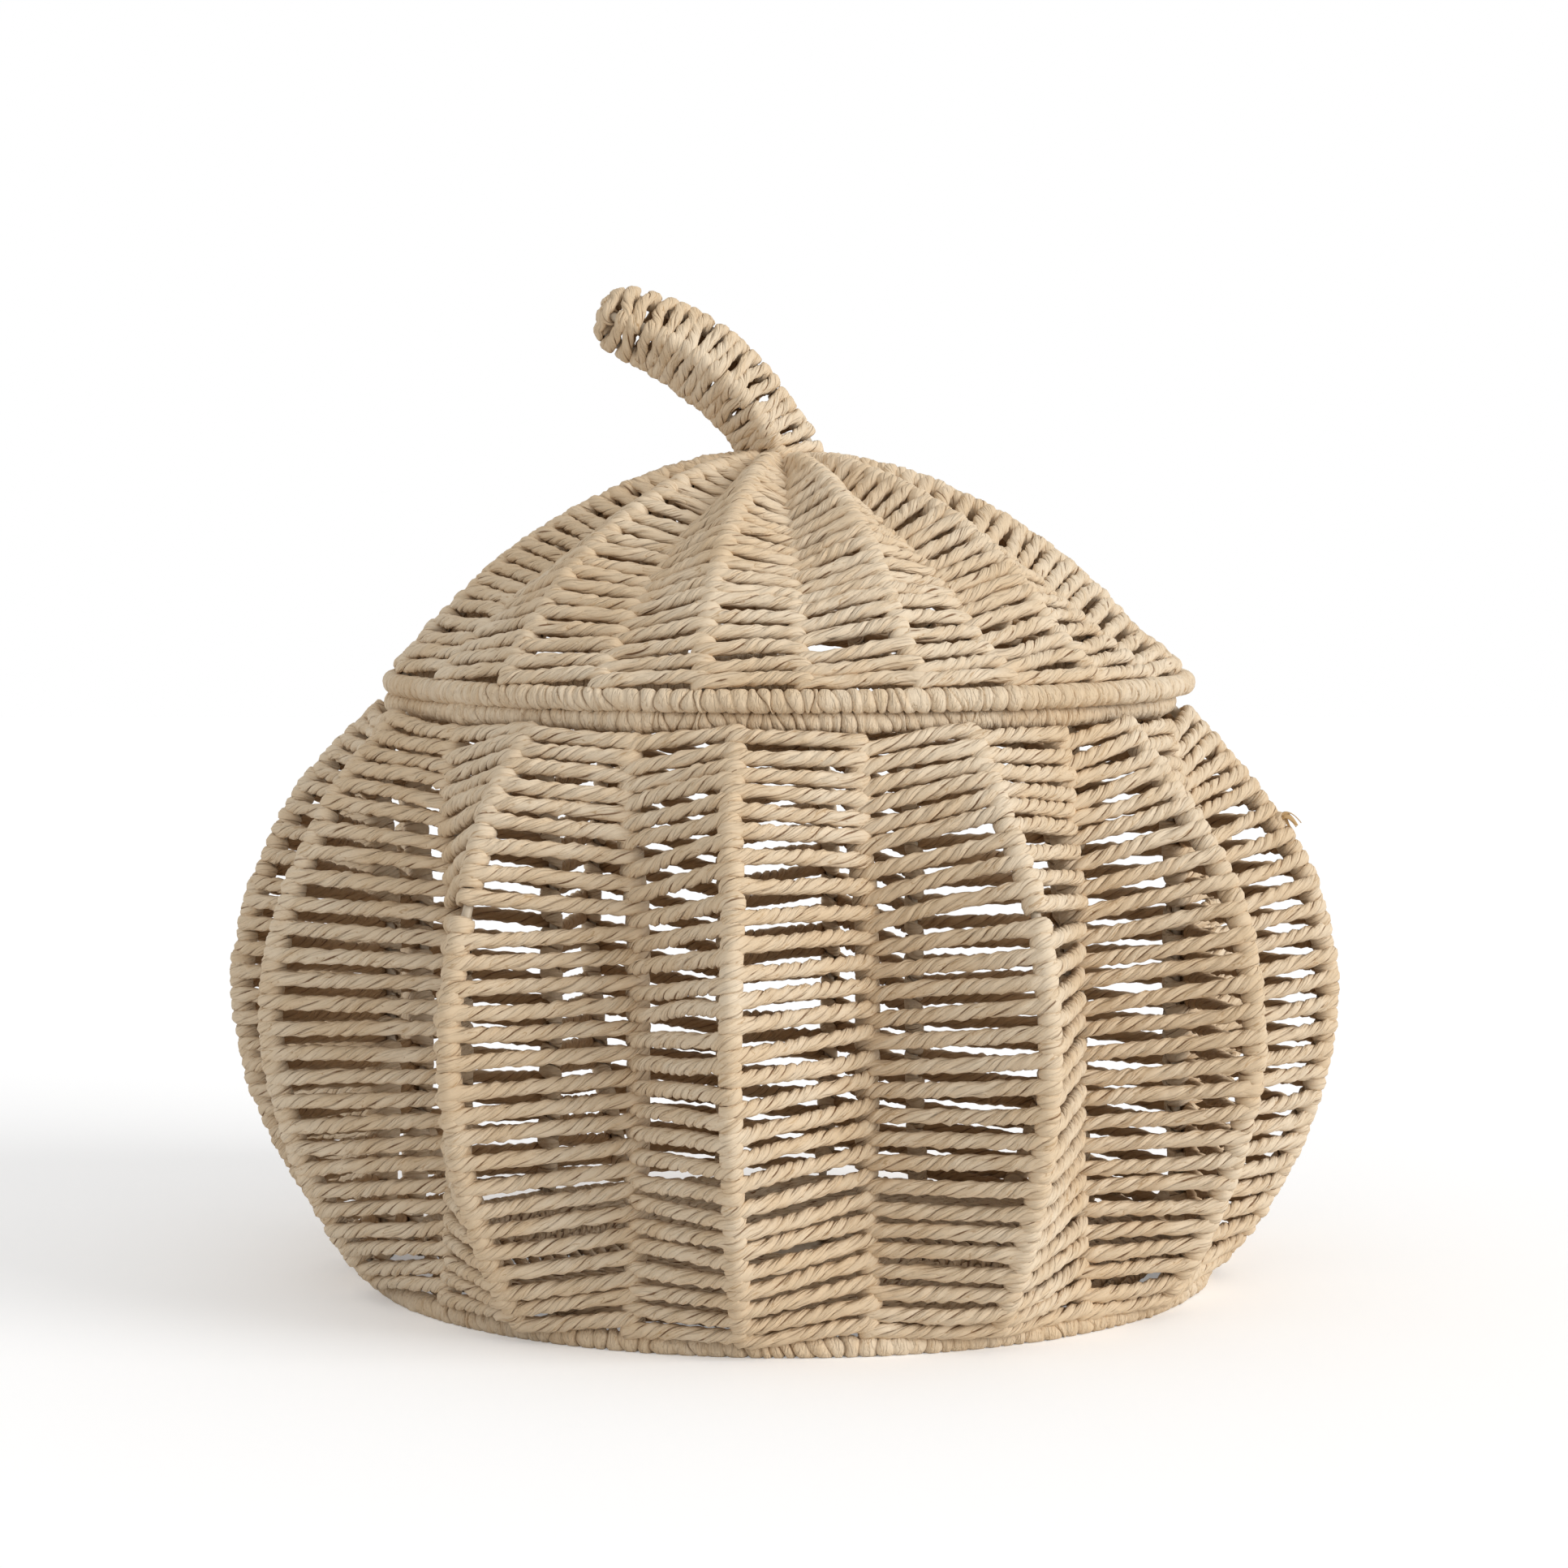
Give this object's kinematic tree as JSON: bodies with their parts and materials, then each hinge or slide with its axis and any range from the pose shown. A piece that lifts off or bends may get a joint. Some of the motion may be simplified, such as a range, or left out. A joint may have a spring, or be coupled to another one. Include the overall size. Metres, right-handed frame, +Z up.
{
  "type": "basket",
  "caption": "Pumpkin-shaped lidded storage basket of twisted paper cord woven over a fluted wire frame, with a lift-off domed lid and a curved stem handle.",
  "frame": {"origin": "on the basket's axis, in the plane of the floor it stands on", "axes": "+Z up along the axis from the floor to the stem; -Y is the side the picture faces, and the stem leans towards -X"},
  "size_m": [0.3486, 0.3486, 0.3146],
  "materials": {
    "paper_cord": "matte twisted two-ply paper cord, natural beige",
    "paper_strip": "matte creased paper strip wound flat round the ring wires, natural beige",
    "coated_wire": "satin beige coating on steel wire"
  },
  "bodies": {
    "basket": {"base_ring": "coated_wire", "body_rim_ring": "coated_wire", "floor_spokes_and_hub": "coated_wire", "body_ridge_rib_01": "coated_wire", "body_ridge_rib_02": "coated_wire", "body_ridge_rib_03": "coated_wire", "body_ridge_rib_04": "coated_wire", "body_ridge_rib_05": "coated_wire", "body_ridge_rib_06": "coated_wire", "body_ridge_rib_07": "coated_wire", "body_ridge_rib_08": "coated_wire", "body_ridge_rib_09": "coated_wire", "body_ridge_rib_10": "coated_wire", "body_ridge_rib_11": "coated_wire", "body_ridge_rib_12": "coated_wire", "body_valley_rib_01": "coated_wire", "body_valley_rib_02": "coated_wire", "body_valley_rib_03": "coated_wire", "body_valley_rib_04": "coated_wire", "body_valley_rib_05": "coated_wire", "body_valley_rib_06": "coated_wire", "body_valley_rib_07": "coated_wire", "body_valley_rib_08": "coated_wire", "body_valley_rib_09": "coated_wire", "body_valley_rib_10": "coated_wire", "body_valley_rib_11": "coated_wire", "body_valley_rib_12": "coated_wire", "base_ring_binding": "paper_strip", "body_rim_binding": "paper_strip", "body_wall_weave": "paper_cord", "floor_weave": "paper_cord"},
    "lid": {"lid_rim_ring": "coated_wire", "lid_crown_and_valley_ribs": "coated_wire", "stem_hoop_side": "coated_wire", "stem_hoop_front": "coated_wire", "lid_ridge_rib_01": "coated_wire", "lid_ridge_rib_02": "coated_wire", "lid_ridge_rib_03": "coated_wire", "lid_ridge_rib_04": "coated_wire", "lid_ridge_rib_05": "coated_wire", "lid_ridge_rib_06": "coated_wire", "lid_ridge_rib_07": "coated_wire", "lid_ridge_rib_08": "coated_wire", "lid_ridge_rib_09": "coated_wire", "lid_ridge_rib_10": "coated_wire", "lid_ridge_rib_11": "coated_wire", "lid_ridge_rib_12": "coated_wire", "lid_rim_binding": "paper_strip", "lid_weave": "paper_cord", "crown_wrap": "paper_cord", "stem_winding": "paper_cord"}
  },
  "joints": [
    {"name": "lid_lift", "type": "slide", "parent": "basket", "child": "lid", "axis": [0, 0, 1], "range_m": [0, 0.15]}
  ]
}
